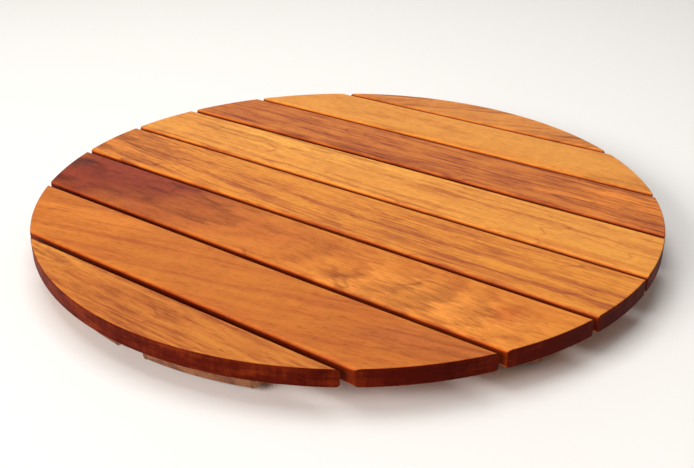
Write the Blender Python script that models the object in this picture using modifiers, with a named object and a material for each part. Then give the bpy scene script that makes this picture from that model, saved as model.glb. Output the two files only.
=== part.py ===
"""Round slatted bath mat: hardwood slats on cross battens, screwed from below, on rubber feet.

The slats run along X. Z = 0 is the floor that the feet stand on. Lengths are in metres.
"""
import math

import bmesh
import bpy
from mathutils import Vector

# --- Driving sizes -----------------------------------------------------------------------------
mat_diameter = 0.7112
slat_width = 0.0901
slat_gap = 0.0065
slat_thickness = 0.019

inner_batten_width = 0.1143
outer_batten_width = 0.0889
batten_thickness = 0.019
inner_batten_offset = 0.0722     # centre line of an inner batten from the mat's middle
outer_batten_inset = 0.0436      # outer edge of an outer batten from the rim
batten_end_inset = 0.015         # no corner of a batten comes nearer to the rim than this
outer_batten_clip = 0.024        # corners next to the rim are clipped off by this much, at 45 degrees

board_edge_radius = 0.0025       # eased edges of slats and battens
board_edge_steps = 2
rim_steps = 120                  # facets of a full rim circle

screw_head_diameter = 0.0082
screw_head_edge = 0.0004         # straight rim of the countersunk head
screw_shank_diameter = 0.0042
screw_thread_diameter = 0.0036
screw_point_length = 0.004
screw_bite = 0.0125              # how far a screw goes into its slat
screw_recess_diameter = 0.0034
screw_recess_depth = 0.0018
narrowest_screwed_overlap = 0.024  # least length of batten under a slat that takes a screw
screw_steps = 10

foot_base_diameter = 0.024       # against the batten
foot_tread_diameter = 0.021      # on the floor
foot_height = 0.005
foot_edge_radius = 0.0008
foot_steps = 20

foot_screw_head_diameter = 0.0072
foot_screw_head_height = 0.0020
foot_screw_shank_diameter = 0.0035
foot_screw_bite = 0.012          # how far a foot screw goes into its batten
foot_screw_point_length = 0.0035
head_room = 0.0012               # space round a foot screw's head in its foot
head_sink = 0.0007               # how far a foot screw's head stays off the floor

seat_gap = 0.0003                # between faces that touch on the real mat
hole_clearance = 0.0003          # round a screw in its hole
cut_overrun = 0.002              # how far a cutter runs past a face

# --- Sizes that follow -------------------------------------------------------------------------
mat_radius = mat_diameter / 2
slat_pitch = slat_width + slat_gap
batten_end_radius = mat_radius - batten_end_inset
outer_batten_edge = mat_radius - outer_batten_inset
outer_batten_offset = outer_batten_edge - outer_batten_width / 2
outer_batten_side_half_length = math.sqrt(batten_end_radius ** 2 - outer_batten_edge ** 2)
outer_batten_half_length = outer_batten_side_half_length + outer_batten_clip
inner_batten_half_length = math.sqrt(batten_end_radius ** 2 - inner_batten_offset ** 2)

foot_well_top = head_sink + foot_screw_head_height + seat_gap

batten_bottom = foot_height + seat_gap
batten_top = batten_bottom + batten_thickness
slat_bottom = batten_top + seat_gap

COLLECTION_NAME = "bath_mat"
CUTTER_COLLECTION_NAME = "bath_mat_cutters"

# Colour, roughness and metallic value of each material.
FINISHES = {
    "teak_golden": ((0.50, 0.24, 0.075), 0.42, 0.0),
    "teak_orange": ((0.42, 0.145, 0.035), 0.42, 0.0),
    "teak_dark": ((0.20, 0.055, 0.022), 0.42, 0.0),
    "teak_batten": ((0.36, 0.15, 0.055), 0.5, 0.0),
    "stainless_steel": ((0.62, 0.61, 0.59), 0.32, 1.0),
    "foot_rubber": ((0.028, 0.027, 0.026), 0.75, 0.0),
}

# Tone of each slat, from the front (-Y) to the back.
SLAT_TONES = ["teak_orange", "teak_orange", "teak_dark", "teak_orange",
              "teak_golden", "teak_dark", "teak_golden", "teak_golden"]


# --- Scene and materials -----------------------------------------------------------------------
def clear_scene():
    for old in list(bpy.data.objects):
        bpy.data.objects.remove(old, do_unlink=True)


def new_collection(name):
    collection = bpy.data.collections.new(name)
    bpy.context.scene.collection.children.link(collection)
    return collection


def make_material(name):
    colour, roughness, metallic = FINISHES[name]
    material = bpy.data.materials.new(name)
    material.use_nodes = True
    shader = material.node_tree.nodes["Principled BSDF"]
    shader.inputs["Base Color"].default_value = (*colour, 1.0)
    shader.inputs["Roughness"].default_value = roughness
    shader.inputs["Metallic"].default_value = metallic
    material.diffuse_color = (*colour, 1.0)
    return material


def add_object(name, mesh, collection, material=None):
    piece = bpy.data.objects.new(name, mesh)
    collection.objects.link(piece)
    if material is not None:
        mesh.materials.append(material)
    return piece


# --- Boards ------------------------------------------------------------------------------------
def cut_flat(bm, point, normal):
    """Cut off what lies on the normal's side of a plane and close the cut."""
    everything = bm.verts[:] + bm.edges[:] + bm.faces[:]
    cut = bmesh.ops.bisect_plane(bm, geom=everything, plane_co=point, plane_no=normal, clear_outer=True)
    rim = [item for item in cut["geom_cut"] if isinstance(item, bmesh.types.BMEdge)]
    bmesh.ops.holes_fill(bm, edges=rim, sides=0)


def disc_strip(name, radius, across, low, high, bottom, thickness):
    """A strip of a round disc: what lies between low and high along the direction across."""
    mesh = bpy.data.meshes.new(name)
    bm = bmesh.new()
    bmesh.ops.create_cone(bm, cap_ends=True, cap_tris=False, segments=rim_steps,
                          radius1=radius, radius2=radius, depth=thickness)
    bmesh.ops.translate(bm, verts=bm.verts, vec=(0.0, 0.0, bottom + thickness / 2))
    if low > -radius:
        cut_flat(bm, across * low, -across)
    if high < radius:
        cut_flat(bm, across * high, across)
    bmesh.ops.recalc_face_normals(bm, faces=bm.faces)
    bm.to_mesh(mesh)
    bm.free()
    return mesh


def ease_edges(board):
    bevel = board.modifiers.new("eased_edges", "BEVEL")
    bevel.width = board_edge_radius
    bevel.segments = board_edge_steps
    bevel.limit_method = "ANGLE"
    bevel.angle_limit = math.radians(30)


def drill(board, cutters):
    for cutter in cutters:
        hole = board.modifiers.new("hole_" + cutter.name, "BOOLEAN")
        hole.operation = "DIFFERENCE"
        hole.solver = "EXACT"
        hole.object = cutter


def slat_count():
    """As many slats as the inner battens can hold with a screw each, always an even number."""
    room = inner_batten_half_length - slat_gap / 2 - narrowest_screwed_overlap
    return 2 * max(math.ceil(room / slat_pitch), 1)


def slat_spans():
    """The low and high Y of each slat, front to back. The outermost two run out to the rim."""
    count = slat_count()
    spans = []
    for index in range(count):
        low = (index - count / 2) * slat_pitch + slat_gap / 2
        high = low + slat_width
        if index == 0:
            low = -mat_radius
        if index == count - 1:
            high = mat_radius
        spans.append((low, high))
    return spans


def make_slats(collection, materials):
    slats = []
    spans = slat_spans()
    for index, (low, high) in enumerate(spans):
        name = "slat_%d" % (index + 1)
        tone = SLAT_TONES[index % len(SLAT_TONES)]
        mesh = disc_strip(name, mat_radius, Vector((0, 1, 0)), low, high, slat_bottom, slat_thickness)
        slat = add_object(name, mesh, collection, materials[tone])
        ease_edges(slat)
        slats.append(slat)
    return slats


def batten_layout():
    """Name, centre line and half length of each batten, left to right."""
    return [
        ("batten_outer_left", -outer_batten_offset, outer_batten_half_length),
        ("batten_inner_left", -inner_batten_offset, inner_batten_half_length),
        ("batten_inner_right", inner_batten_offset, inner_batten_half_length),
        ("batten_outer_right", outer_batten_offset, outer_batten_half_length),
    ]


def make_battens(collection, material):
    """Inner battens have arc-cut ends, outer ones square ends with clipped corners."""
    battens = []
    for name, centre, half_length in batten_layout():
        if "outer" in name:
            mesh = outer_batten_mesh(name, centre, half_length)
        else:
            low = centre - inner_batten_width / 2
            high = centre + inner_batten_width / 2
            mesh = disc_strip(name, batten_end_radius, Vector((1, 0, 0)), low, high,
                              batten_bottom, batten_thickness)
        batten = add_object(name, mesh, collection, material)
        ease_edges(batten)
        battens.append(batten)
    return battens


def outer_batten_mesh(name, centre, half_length):
    """A straight board along Y whose two corners next to the rim are clipped off."""
    mesh = bpy.data.meshes.new(name)
    bm = bmesh.new()
    bmesh.ops.create_cube(bm, size=1.0)
    bmesh.ops.scale(bm, verts=bm.verts, vec=(outer_batten_width, 2 * half_length, batten_thickness))
    bmesh.ops.translate(bm, verts=bm.verts, vec=(centre, 0.0, batten_bottom + batten_thickness / 2))
    outward = math.copysign(1.0, centre)
    for end in (-1, 1):
        corner = Vector((outward * outer_batten_edge, end * outer_batten_side_half_length, 0.0))
        cut_flat(bm, corner, Vector((outward, end, 0.0)).normalized())
    bmesh.ops.recalc_face_normals(bm, faces=bm.faces)
    bm.to_mesh(mesh)
    bm.free()
    return mesh


# --- Turned pieces -----------------------------------------------------------------------------
def turned(name, profile, steps, collection, place, material=None):
    """Turn a profile round Z. The profile lists (radius, height) down its outer side."""
    mesh = bpy.data.meshes.new(name)
    bm = bmesh.new()
    points = [bm.verts.new((radius, 0.0, height)) for radius, height in profile]
    for upper, lower in zip(points, points[1:]):
        bm.edges.new((upper, lower))
    bm.to_mesh(mesh)
    bm.free()
    piece = add_object(name, mesh, collection, material)
    piece.location = place
    screw = piece.modifiers.new("turn", "SCREW")
    screw.angle = math.radians(360)
    screw.steps = steps
    screw.render_steps = steps
    screw.use_merge_vertices = True
    screw.merge_threshold = 0.00001
    screw.use_smooth_shade = True
    return piece


def slat_screw_profile(extra, tail):
    """A countersunk screw, point up, or its hole, extra wider and with a tail below the head."""
    head = screw_head_diameter / 2 + extra
    shank = screw_shank_diameter / 2 + extra
    thread = screw_thread_diameter / 2 + extra
    tip = slat_bottom + screw_bite + extra
    head_rim = batten_bottom + screw_head_edge
    head_top = head_rim + head - shank
    return [
        (0.0, tip),
        (thread, tip - screw_point_length),
        (thread, slat_bottom),
        (shank, slat_bottom - seat_gap),
        (shank, head_top),
        (head, head_rim),
        (head, batten_bottom - tail),
    ]


def foot_screw_profile(extra):
    """The shank of a foot's screw, point up, or its hole in the batten if extra is above 0."""
    shank = foot_screw_shank_diameter / 2 + extra
    tip = batten_bottom + foot_screw_bite + extra
    return [
        (0.0, tip),
        (shank, tip - foot_screw_point_length),
        (shank, foot_well_top - seat_gap),
    ]


def crossings(half_length):
    """Y of each screw in a batten: the middle of what each slat has of the batten under it."""
    places = []
    for low, high in slat_spans():
        low = max(low, -half_length)
        high = min(high, half_length)
        if high - low >= narrowest_screwed_overlap:
            places.append((low + high) / 2)
    return places


def make_slat_screws(collection, cutters, slats, battens, material):
    """One screw at each crossing, and its hole through the batten and into the slat."""
    for batten, (name, centre, half_length) in zip(battens, batten_layout()):
        side = name.replace("batten_", "")
        holes = []
        for place_y in crossings(half_length):
            number = slat_at(place_y)
            place = (centre, place_y, 0.0)
            profile = slat_screw_profile(0.0, 0.0)
            profile.append((screw_recess_diameter / 2, batten_bottom))
            profile.append((0.0, batten_bottom + screw_recess_depth))
            turned("screw_%s_%d" % (side, number), profile, screw_steps, collection, place, material)
            hole_profile = slat_screw_profile(hole_clearance, cut_overrun)
            hole_profile.append((0.0, batten_bottom - cut_overrun))
            hole = turned("cut_screw_%s_%d" % (side, number), hole_profile, screw_steps, cutters, place)
            drill(slats[number - 1], [hole])
            holes.append(hole)
        drill(batten, holes)


def slat_at(place_y):
    """Number of the slat that lies over a Y."""
    for number, (low, high) in enumerate(slat_spans(), start=1):
        if low <= place_y <= high:
            return number
    raise ValueError("no slat over y = %g" % place_y)


# --- Feet --------------------------------------------------------------------------------------
def foot_places():
    """Two feet per batten, each under the last slat gap that the batten crosses."""
    places = []
    spans = slat_spans()
    for batten_index, (name, centre, half_length) in enumerate(batten_layout()):
        last = max(crossings(half_length))
        last_slat_low = spans[slat_at(last) - 1][0]
        foot_y = last_slat_low - slat_gap / 2
        side = name.replace("batten_", "")
        places.append((batten_index, side + "_front", (centre, -foot_y, 0.0)))
        places.append((batten_index, side + "_back", (centre, foot_y, 0.0)))
    return places


def foot_profile():
    base = foot_base_diameter / 2
    tread = foot_tread_diameter / 2
    well = foot_screw_head_diameter / 2 + head_room
    bore = foot_screw_shank_diameter / 2 + hole_clearance
    slope = (base - tread) / foot_height
    return [
        (bore, foot_height),
        (base - foot_edge_radius, foot_height),
        (base, foot_height - foot_edge_radius),
        (tread + slope * foot_edge_radius, foot_edge_radius),
        (tread - foot_edge_radius, 0.0),
        (well, 0.0),
        (well, foot_well_top),
        (bore, foot_well_top),
        (bore, foot_height),
    ]


def pan_head_profile():
    """The screw in a foot, from its point to the middle of its domed head."""
    head = foot_screw_head_diameter / 2
    seat = foot_well_top - seat_gap
    bottom = seat - foot_screw_head_height
    profile = foot_screw_profile(0.0)
    profile.append((head, seat))
    profile.append((head, seat - foot_screw_head_height / 2))
    profile.append((head * 0.75, bottom))
    profile.append((screw_recess_diameter / 2, bottom))
    profile.append((0.0, bottom + foot_screw_head_height / 2))
    return profile


def make_feet(collection, cutters, battens, rubber, steel):
    for batten_index, side, place in foot_places():
        turned("foot_" + side, foot_profile(), foot_steps, collection, place, rubber)
        turned("foot_screw_" + side, pan_head_profile(), screw_steps, collection, place, steel)
        hole_profile = foot_screw_profile(hole_clearance)
        hole_profile.append((0.0, hole_profile[-1][1]))
        hole = turned("cut_foot_screw_" + side, hole_profile, screw_steps, cutters, place)
        drill(battens[batten_index], [hole])


def hide_cutters(collection):
    for cutter in collection.objects:
        cutter.hide_render = True
        cutter.display_type = "WIRE"


def main():
    clear_scene()
    collection = new_collection(COLLECTION_NAME)
    cutters = new_collection(CUTTER_COLLECTION_NAME)
    materials = {name: make_material(name) for name in FINISHES}
    slats = make_slats(collection, materials)
    battens = make_battens(collection, materials["teak_batten"])
    make_slat_screws(collection, cutters, slats, battens, materials["stainless_steel"])
    make_feet(collection, cutters, battens, materials["foot_rubber"], materials["stainless_steel"])
    hide_cutters(cutters)
    print("bath mat:", len(collection.objects), "parts")


main()
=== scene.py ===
import math

import bmesh
import bpy
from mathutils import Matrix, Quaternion, Vector, noise


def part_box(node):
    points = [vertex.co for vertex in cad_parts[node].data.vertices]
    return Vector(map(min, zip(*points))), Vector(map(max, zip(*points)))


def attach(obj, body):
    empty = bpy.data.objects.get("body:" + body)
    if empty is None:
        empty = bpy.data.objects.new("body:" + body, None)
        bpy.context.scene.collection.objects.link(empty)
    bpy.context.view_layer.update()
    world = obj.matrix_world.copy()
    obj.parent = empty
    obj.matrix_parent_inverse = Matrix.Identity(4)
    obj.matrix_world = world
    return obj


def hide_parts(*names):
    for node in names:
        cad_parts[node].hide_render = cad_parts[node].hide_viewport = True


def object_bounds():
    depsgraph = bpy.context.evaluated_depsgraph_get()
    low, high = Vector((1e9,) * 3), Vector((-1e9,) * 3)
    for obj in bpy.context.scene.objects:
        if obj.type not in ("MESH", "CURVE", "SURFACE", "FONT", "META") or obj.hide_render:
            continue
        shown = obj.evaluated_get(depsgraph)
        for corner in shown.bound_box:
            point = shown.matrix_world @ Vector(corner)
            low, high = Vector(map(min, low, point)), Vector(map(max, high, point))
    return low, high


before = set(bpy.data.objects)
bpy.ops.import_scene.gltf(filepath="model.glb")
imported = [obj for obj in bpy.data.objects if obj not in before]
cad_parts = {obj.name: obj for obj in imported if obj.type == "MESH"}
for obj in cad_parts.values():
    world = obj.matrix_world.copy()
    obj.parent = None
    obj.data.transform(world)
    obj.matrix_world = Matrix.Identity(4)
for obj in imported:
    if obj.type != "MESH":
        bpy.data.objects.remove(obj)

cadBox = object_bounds()
matRadius = cadBox[1].y
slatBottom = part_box("slat_4")[0].z
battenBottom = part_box("batten_inner_left")[0].z
slatNames = sorted(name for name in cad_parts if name.startswith("slat_"))
battenNames = sorted(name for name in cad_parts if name.startswith("batten_"))
print("frame:", len(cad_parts), "CAD solids, radius", round(matRadius, 4))


# boards: slats are strips of one disc, battens lie across them underneath

boardShape = {
    "rimSegments": 480,
    "edgeEase": 0.0038,      # rounding along the grain
    "easeSegments": 6,
    "rimShare": 0.32,        # the turned rim is rounded by this share of edgeEase
    "rimEaseSegments": 3,
    "cutSpacing": 0.018,     # cross cuts that carry the slight unevenness of a planed board
    "lengthCuts": 3,
    "topWave": 0.00022,
    "edgeWave": 0.00022,
    "wavesAlong": 7,         # waves per metre
    "wavesAcross": 16,
    "waveReach": 0.01,       # an edge's wave dies out this far in from it
    "sharpAngle": 38,
}
tiny = 0.00001               # closer than this counts as touching

# how far each slat's front and back edge stand off their places, in millimetres
edgeShifts = {
    "slat_1": (0.0, -0.3),
    "slat_2": (0.2, -0.1),
    "slat_3": (0.1, 0.1),
    "slat_4": (0.0, 0.3),
    "slat_5": (-0.3, -0.2),
    "slat_6": (0.2, 0.1),
    "slat_7": (-0.1, 0.4),
    "slat_8": (-0.4, 0.0),
}


def cutOff(bm, point, normal):
    everything = bm.verts[:] + bm.edges[:] + bm.faces[:]
    cut = bmesh.ops.bisect_plane(bm, geom=everything, plane_co=point, plane_no=normal, clear_outer=True)
    edges = [item for item in cut["geom_cut"] if isinstance(item, bmesh.types.BMEdge)]
    bmesh.ops.holes_fill(bm, edges=edges, sides=0)


def cutAcross(bm, point, normal):
    everything = bm.verts[:] + bm.edges[:] + bm.faces[:]
    bmesh.ops.bisect_plane(bm, geom=everything, plane_co=point, plane_no=normal)


def flatDisc(radius, bottom, top):
    bm = bmesh.new()
    bmesh.ops.create_cone(bm, cap_ends=True, cap_tris=False, segments=boardShape["rimSegments"],
                          radius1=radius, radius2=radius, depth=top - bottom)
    bmesh.ops.translate(bm, verts=bm.verts, vec=(0, 0, (bottom + top) / 2))
    return bm


def easeEdges(bm, edges, width, segments):
    bmesh.ops.bevel(bm, geom=edges, offset=width, segments=segments, profile=0.5,
                    affect="EDGES", material=-1, clamp_overlap=False)


def easeRim(bm, edges):
    easeEdges(bm, edges, boardShape["edgeEase"] * boardShape["rimShare"], boardShape["rimEaseSegments"])


def isLevel(edge):
    return abs(edge.verts[0].co.z - edge.verts[1].co.z) < tiny


def roundedDisc(radius, bottom, top):
    bm = flatDisc(radius, bottom, top)
    easeRim(bm, [edge for edge in bm.edges if isLevel(edge)])
    return bm


def roundedBoard(reach, across, low, high, bottom, top):
    # longer and, at an end slat, wider than the disc, which trims it
    along = Vector((across.y, across.x, 0))
    spare = 0.02
    low = low if low > -reach else low - spare
    high = high if high < reach else high + spare
    size = along * reach * 2.2 + across * (high - low) + Vector((0, 0, top - bottom))
    middle = across * (low + high) / 2 + Vector((0, 0, (bottom + top) / 2))
    bm = bmesh.new()
    bmesh.ops.create_cube(bm, size=1.0)
    bmesh.ops.scale(bm, verts=bm.verts, vec=size)
    bmesh.ops.translate(bm, verts=bm.verts, vec=middle)
    longEdges = [edge for edge in bm.edges if abs((edge.verts[0].co - edge.verts[1].co).dot(along)) > reach]
    easeEdges(bm, longEdges, boardShape["edgeEase"], boardShape["easeSegments"])
    return bm


def sliceBoard(bm, along, across):
    reach = max(abs(v.co.dot(along)) for v in bm.verts)
    count = int(reach / boardShape["cutSpacing"])
    for step in range(-count, count + 1):
        cutAcross(bm, along * step * boardShape["cutSpacing"], along)
    low = min(v.co.dot(across) for v in bm.verts)
    high = max(v.co.dot(across) for v in bm.verts)
    for step in range(1, boardShape["lengthCuts"] + 1):
        cutAcross(bm, across * (low + (high - low) * step / (boardShape["lengthCuts"] + 1)), across)


def easeBoard(bm, across, planes):
    # the long edges are rounded first, then the cut ends more lightly
    corner = math.radians(20)

    def onPlane(v):
        return any(abs(v.co.dot(across) - plane) < tiny for plane in planes)

    bm.normal_update()
    longEdges = [edge for edge in bm.edges
                 if all(onPlane(v) for v in edge.verts) and isLevel(edge)
                 and len(edge.link_faces) == 2 and edge.calc_face_angle() > corner]
    easeEdges(bm, longEdges, boardShape["edgeEase"], boardShape["easeSegments"])
    bm.normal_update()
    ends = {face for face in bm.faces
            if abs(face.normal.z) < 0.05 and not all(onPlane(v) for v in face.verts)}
    endEdges = []
    for edge in bm.edges:
        touching = sum(face in ends for face in edge.link_faces)
        if touching == 1 or touching == 2 and edge.calc_face_angle() > corner:
            endEdges.append(edge)
    easeRim(bm, endEdges)


def waveBoard(bm, seed, along, across, planes, bottom, top):
    # planed boards are never quite flat or straight; the underside stays true on its battens
    for v in bm.verts:
        place = Vector((v.co.dot(along) * boardShape["wavesAlong"],
                        v.co.dot(across) * boardShape["wavesAcross"], seed * 3.7))
        lift = max(v.co.z - bottom, 0) / (top - bottom)
        v.co.z += noise.noise(place) * boardShape["topWave"] * lift ** 3
        for plane in planes:
            closeness = 1 - min(abs(v.co.dot(across) - plane) / boardShape["waveReach"], 1)
            wave = noise.noise(place * 1.3 + Vector((9, plane * 40, 0)))
            v.co += across * wave * boardShape["edgeWave"] * closeness


def finishBoard(name, bm, material):
    bmesh.ops.recalc_face_normals(bm, faces=bm.faces)
    mesh = bpy.data.meshes.new(name + "_board")
    bm.to_mesh(mesh)
    bm.free()
    piece = bpy.data.objects.new(name + "_board", mesh)
    bpy.context.scene.collection.objects.link(piece)
    mesh.materials.append(material)
    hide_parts(name)
    return piece


def carve(piece, cutterMeshes, operation="DIFFERENCE"):
    # takes the cutters out of the piece, or keeps only what they share, as one finished mesh
    bm = bmesh.new()
    for cutter in cutterMeshes:
        mesh = bpy.data.meshes.new("cutter")
        cutter.to_mesh(mesh)
        cutter.free()
        bm.from_mesh(mesh)
        bpy.data.meshes.remove(mesh)
    joined = bpy.data.meshes.new("cutters")
    bm.to_mesh(joined)
    bm.free()
    tool = bpy.data.objects.new("cutters", joined)
    bpy.context.scene.collection.objects.link(tool)
    hole = piece.modifiers.new("holes", "BOOLEAN")
    hole.operation = operation
    hole.solver = "EXACT"
    hole.object = tool
    bpy.context.view_layer.update()
    ready = piece.evaluated_get(bpy.context.evaluated_depsgraph_get())
    mesh = bpy.data.meshes.new_from_object(ready)
    piece.modifiers.clear()
    old = piece.data
    piece.data = mesh
    bpy.data.meshes.remove(old)
    bpy.data.objects.remove(tool)
    bpy.data.meshes.remove(joined)


def steadyShading(piece):
    piece.data.shade_smooth()
    piece.data.set_sharp_from_angle(angle=math.radians(boardShape["sharpAngle"]))
    steady = piece.modifiers.new("flatFaces", "WEIGHTED_NORMAL")
    steady.keep_sharp = True
    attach(piece, "root")


def buildSlat(name, material):
    lowest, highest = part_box(name)
    frontShift, backShift = edgeShifts[name]
    along = Vector((1, 0, 0))
    across = Vector((0, 1, 0))
    low = lowest.y + frontShift / 1000
    high = highest.y + backShift / 1000
    reach = matRadius - 0.001
    planes = [plane for plane in (low, high) if abs(plane) < reach]
    disc = roundedDisc(matRadius, lowest.z, highest.z)
    board = roundedBoard(reach, across, low, high, lowest.z, highest.z)
    piece = finishBoard(name, disc, material)
    carve(piece, [board], "INTERSECT")
    bm = bmesh.new()
    bm.from_mesh(piece.data)
    sliceBoard(bm, along, across)
    waveBoard(bm, int(name.split("_")[1]), along, across, planes, lowest.z, highest.z)
    bmesh.ops.recalc_face_normals(bm, faces=bm.faces)
    bm.to_mesh(piece.data)
    bm.free()
    steadyShading(piece)


# turned pieces: a profile of (radius, height) pairs spun round an upright axis

screwShape = {
    "steps": 36,
    "headRadius": 0.0041,
    "headRim": 0.0004,
    "shankRadius": 0.0021,
    "rootRadius": 0.0014,
    "threadRadius": 0.0020,
    "threadPitch": 0.0024,
    "threadSteps": 18,
    "lobeDepth": 0.16,
    "socketRadius": 0.0019,
    "socketDepth": 0.0017,
    "pointLength": 0.004,
    "bite": 0.0125,
}


def centreOf(name):
    lowest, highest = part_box(name)
    return ((lowest.x + highest.x) / 2, (lowest.y + highest.y) / 2)


def turnProfile(profile, place, steps):
    bm = bmesh.new()
    points = [bm.verts.new((place[0] + radius, place[1], height)) for radius, height in profile]
    edges = [bm.edges.new(pair) for pair in zip(points, points[1:])]
    bmesh.ops.spin(bm, geom=points + edges, cent=(place[0], place[1], 0), axis=(0, 0, 1),
                   angle=math.tau, steps=steps, use_merge=True)
    bmesh.ops.remove_doubles(bm, verts=bm.verts, dist=0.000005)
    bmesh.ops.recalc_face_normals(bm, faces=bm.faces)
    return bm


def easeSharp(bm, width, segments, limit=35):
    sharp = [edge for edge in bm.edges
             if len(edge.link_faces) == 2 and edge.calc_face_angle() > math.radians(limit)]
    bmesh.ops.bevel(bm, geom=sharp, offset=width, segments=segments, profile=0.5,
                    affect="EDGES", material=-1, clamp_overlap=True)


def lobeSocket(bm, place, radius, lowest, highest):
    # turns the round socket into a six-lobed one
    for v in bm.verts:
        out = Vector((v.co.x - place[0], v.co.y - place[1], 0))
        if tiny < out.length < radius * 1.02 and lowest - tiny < v.co.z < highest:
            angle = math.atan2(out.y, out.x)
            v.co += out * screwShape["lobeDepth"] * math.cos(6 * angle)


def turnedPiece(name, bm, material, node):
    mesh = bpy.data.meshes.new(name)
    bm.to_mesh(mesh)
    bm.free()
    mesh.shade_smooth()
    mesh.set_sharp_from_angle(angle=math.radians(40))
    mesh.materials.append(material)
    piece = bpy.data.objects.new(name, mesh)
    bpy.context.scene.collection.objects.link(piece)
    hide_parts(node)
    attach(piece, "root")


def addThread(bm, place, bottom, top, rootRadius, crestRadius):
    # a closed three-sided ridge wound round the shank
    pitch = screwShape["threadPitch"]
    turns = (top - bottom) / pitch
    buried = rootRadius - 0.0002
    ridge = [(buried, 0.0), (crestRadius, pitch * 0.22), (buried, pitch * 0.44)]
    points = [bm.verts.new((place[0] + radius, place[1], bottom + height)) for radius, height in ridge]
    edges = [bm.edges.new((points[i], points[(i + 1) % 3])) for i in range(3)]
    bm.faces.new(points)
    steps = int(turns * screwShape["threadSteps"])
    swept = bmesh.ops.spin(bm, geom=points + edges, cent=(place[0], place[1], 0), axis=(0, 0, 1),
                           angle=math.tau * turns, steps=steps, dvec=(0, 0, (top - bottom) / steps))
    last = [item for item in swept["geom_last"] if isinstance(item, bmesh.types.BMVert)]
    bm.faces.new(last)


def screwProfile(bottom, seam, extra):
    head = screwShape["headRadius"] + extra
    shank = screwShape["shankRadius"] + extra
    root = screwShape["rootRadius"] + extra
    tip = seam + screwShape["bite"]
    rim = bottom + screwShape["headRim"]
    return [
        (0.0, tip),
        (root, tip - screwShape["pointLength"]),
        (root, seam + 0.0004),
        (shank, seam - 0.0004),
        (shank, rim + head - shank),
        (head, rim),
        (head, bottom),
    ]


def buildScrew(name, material):
    place = centreOf(name)
    threadStart = slatBottom + 0.001
    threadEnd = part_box(name)[1].z - 0.0035
    socket = screwShape["socketRadius"]
    depth = screwShape["socketDepth"]
    profile = screwProfile(battenBottom, slatBottom, 0.0)
    profile += [(socket, battenBottom), (socket, battenBottom + depth), (0.0, battenBottom + depth * 1.15)]
    bm = turnProfile(profile, place, screwShape["steps"])
    lobeSocket(bm, place, socket, battenBottom, battenBottom + depth * 1.05)
    easeSharp(bm, 0.00012, 2)
    addThread(bm, place, threadStart, threadEnd, screwShape["rootRadius"], screwShape["threadRadius"])
    bmesh.ops.recalc_face_normals(bm, faces=bm.faces)
    turnedPiece(name + "_steel", bm, material, name)


# battens under the slats, with a countersunk hole for each screw

battenShape = {
    "endRadius": 0.3406,     # the inner battens end on this arc
    "clip": 0.024,           # what is cut off the outer battens' corners
    "holeRoom": 0.0003,
    "pilotRadius": 0.00205,
    "footScrewBite": 0.0125,
    "chamfer": 0.0003,
}


def squareBatten(lowest, highest):
    # a straight board whose two corners next to the rim are clipped
    bm = bmesh.new()
    size = highest - lowest
    middle = (lowest + highest) / 2
    bmesh.ops.create_cube(bm, size=1.0)
    bmesh.ops.scale(bm, verts=bm.verts, vec=size)
    bmesh.ops.translate(bm, verts=bm.verts, vec=middle)
    outer = max(lowest.x, highest.x, key=abs)
    side = math.copysign(1, outer)
    for end in (-1, 1):
        corner = Vector((outer, end * (highest.y - battenShape["clip"]), 0))
        cutOff(bm, corner, Vector((side, end, 0)).normalized())
    return bm


def insideArc(radius, lowest, highest):
    # a board whose two ends follow the mat's circle
    bm = flatDisc(radius, lowest.z, highest.z)
    across = Vector((1, 0, 0))
    cutOff(bm, across * lowest.x, -across)
    cutOff(bm, across * highest.x, across)
    return bm


def nodesNamed(start):
    return [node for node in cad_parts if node.startswith(start)]


def buildBatten(name, material):
    lowest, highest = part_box(name)
    bottom = lowest.z
    below = bottom - 0.002
    side = name.replace("batten_", "")
    if "outer" in name:
        bm = squareBatten(lowest, highest)
    else:
        bm = insideArc(battenShape["endRadius"], lowest, highest)
    easeBoard(bm, Vector((1, 0, 0)), [lowest.x, highest.x])
    piece = finishBoard(name, bm, material)
    room = battenShape["holeRoom"]
    chamfer = battenShape["chamfer"]
    mouth = screwShape["headRadius"] + room + chamfer
    pilot = battenShape["pilotRadius"]
    tip = bottom + battenShape["footScrewBite"]
    cutters = []
    for screw in nodesNamed("screw_" + side + "_"):
        profile = screwProfile(bottom, slatBottom, room)
        profile[-1] = (mouth, bottom - chamfer)
        profile += [(mouth, below), (0.0, below)]
        cutters.append(turnProfile(profile, centreOf(screw), 32))
    for screw in nodesNamed("foot_screw_" + side + "_"):
        profile = [(0.0, tip), (pilot, tip - 0.0035), (pilot, below), (0.0, below)]
        cutters.append(turnProfile(profile, centreOf(screw), 24))
    carve(piece, cutters)
    steadyShading(piece)


# rubber feet, each held by a pan head screw in its well

footShape = {
    "steps": 72,
    "treadRadius": 0.0105,
    "baseRadius": 0.012,
    "wellRadius": 0.0048,
    "wellTop": 0.003,
    "boreRadius": 0.00205,
    "grooveDepth": 0.0004,
    "beltAt": 0.62,          # share of the height where a raised belt runs round the foot
    "screwHeadRadius": 0.0036,
    "screwHeadHeight": 0.002,
    "screwShankRadius": 0.00175,
    "screwRootRadius": 0.00125,
}


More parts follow.
